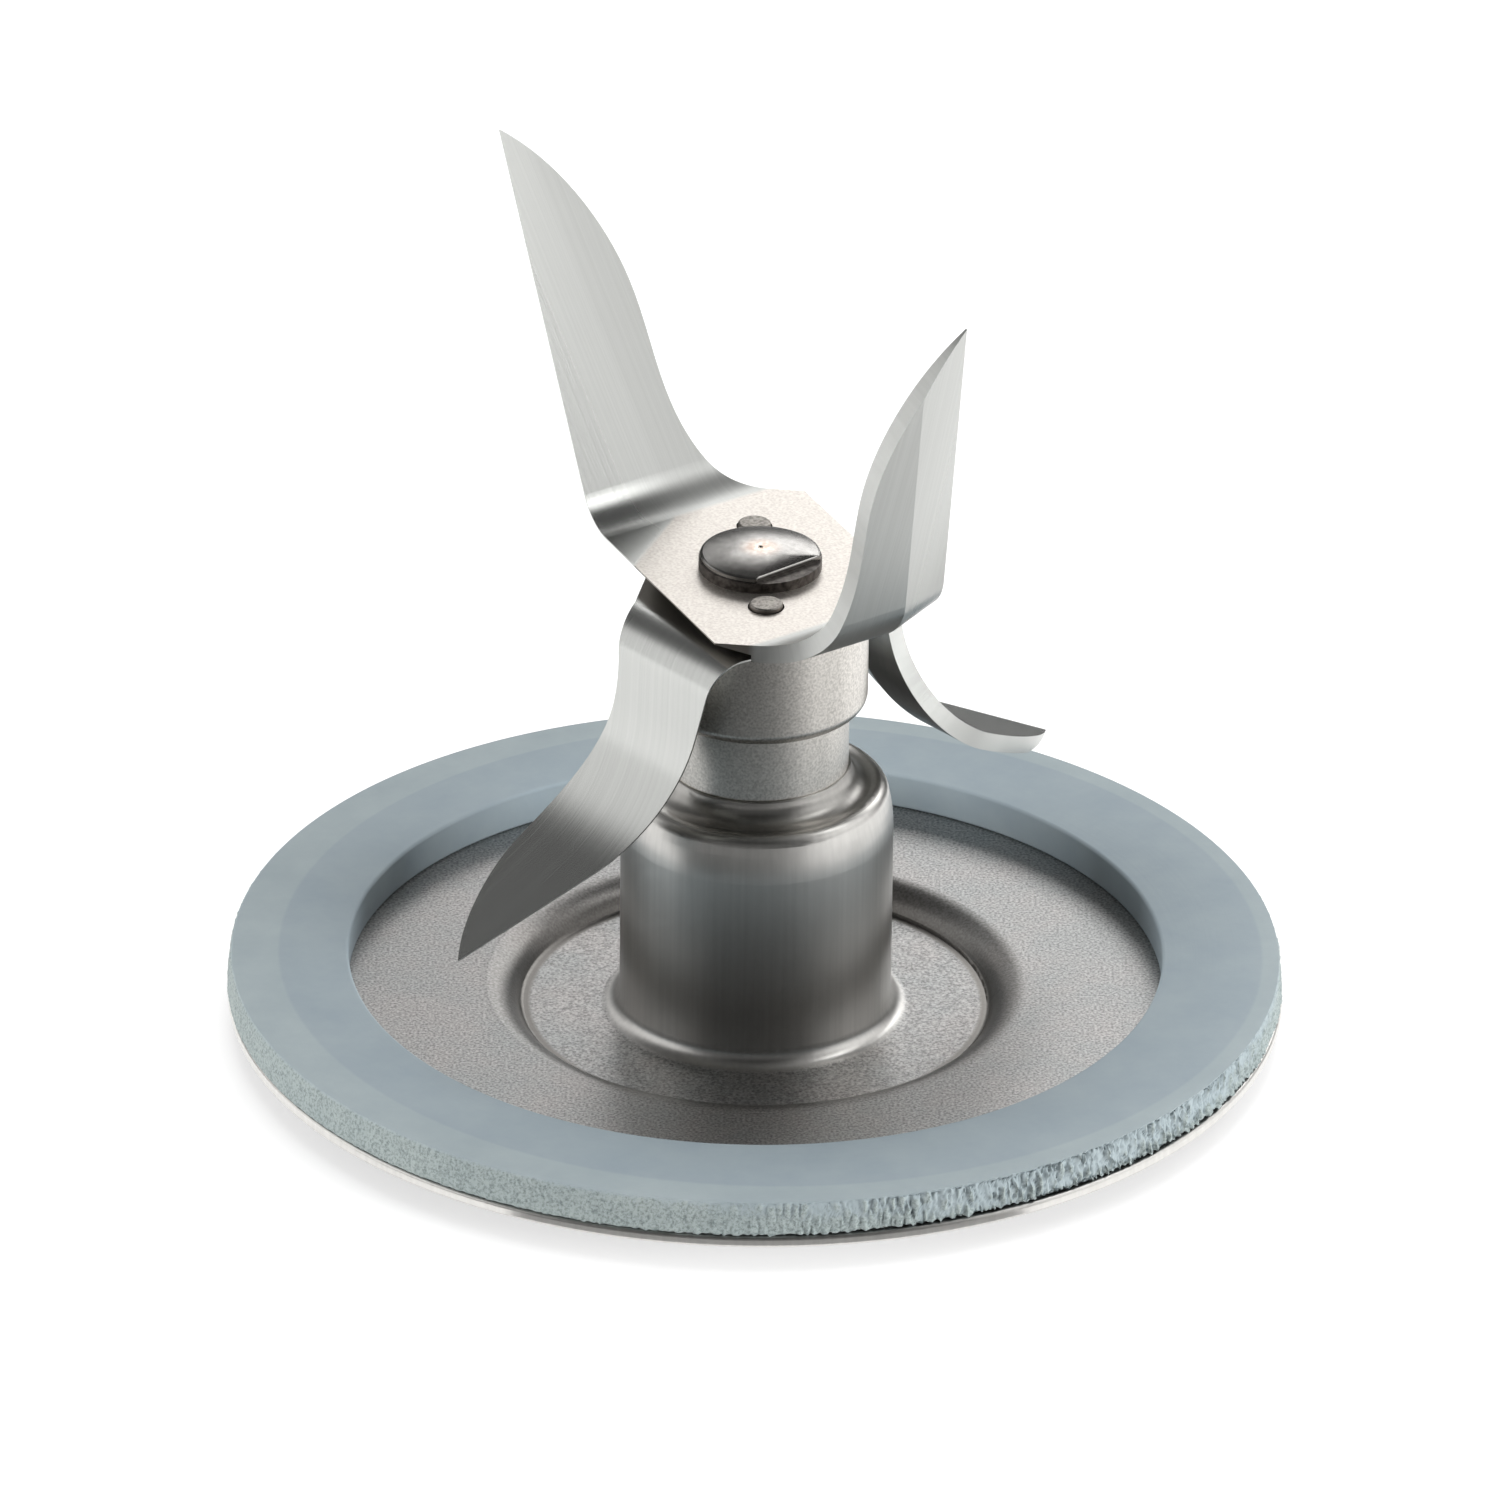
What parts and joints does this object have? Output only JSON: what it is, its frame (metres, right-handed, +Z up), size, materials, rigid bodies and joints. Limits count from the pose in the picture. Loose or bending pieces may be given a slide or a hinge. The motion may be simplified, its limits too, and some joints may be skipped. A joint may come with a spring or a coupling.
{
  "type": "blender blade assembly",
  "caption": "Blender blade unit: stamped steel disc with a drawn bearing housing and rubber gasket, a spinning shaft with bent cutting blades, and a square drive socket underneath.",
  "frame": {"origin": "on the shaft's axis, at the underside of the disc's sunken pan, which the part stands on", "axes": "+Z up along the shaft, towards the blades; +X to the right and -Y towards the viewer of the picture"},
  "size_m": [0.0704, 0.0704, 0.0585],
  "materials": {
    "disc_steel": "tumbled stainless sheet, satin on the drawn housing",
    "gasket_rubber": "matt blue-grey rubber with a rough outer wall",
    "turned_steel": "fine turned stainless",
    "bearing_bronze": "sintered bronze, oil filled",
    "wick_felt": "pressed wool felt, oiled",
    "seal_rubber": "smooth black rubber",
    "shaft_steel": "dark burnished steel",
    "washer_nylon": "natural nylon",
    "coupling_steel": "sintered steel",
    "blade_steel": "stainless strip brushed along the wings, pale tumbled centre"
  },
  "bodies": {
    "base": {"base_plate": "disc_steel", "gasket": "gasket_rubber", "bearing_sleeve": "turned_steel", "bearing_retainer": "turned_steel", "lower_bushing": "bearing_bronze", "oil_felt": "wick_felt", "upper_bushing": "bearing_bronze", "shaft_seal": "seal_rubber"},
    "rotor": {"shaft": "shaft_steel", "lower_thrust_washer": "washer_nylon", "upper_thrust_washer": "washer_nylon", "drive_coupling": "coupling_steel", "collar": "turned_steel", "lower_blade": "blade_steel", "upper_blade": "blade_steel", "head_washer": "shaft_steel"}
  },
  "joints": [
    {"name": "blade_spin", "type": "hinge", "parent": "base", "child": "rotor", "pos_m": [0, 0, 0.0122], "axis": [0, 0, 1], "continuous": true}
  ]
}
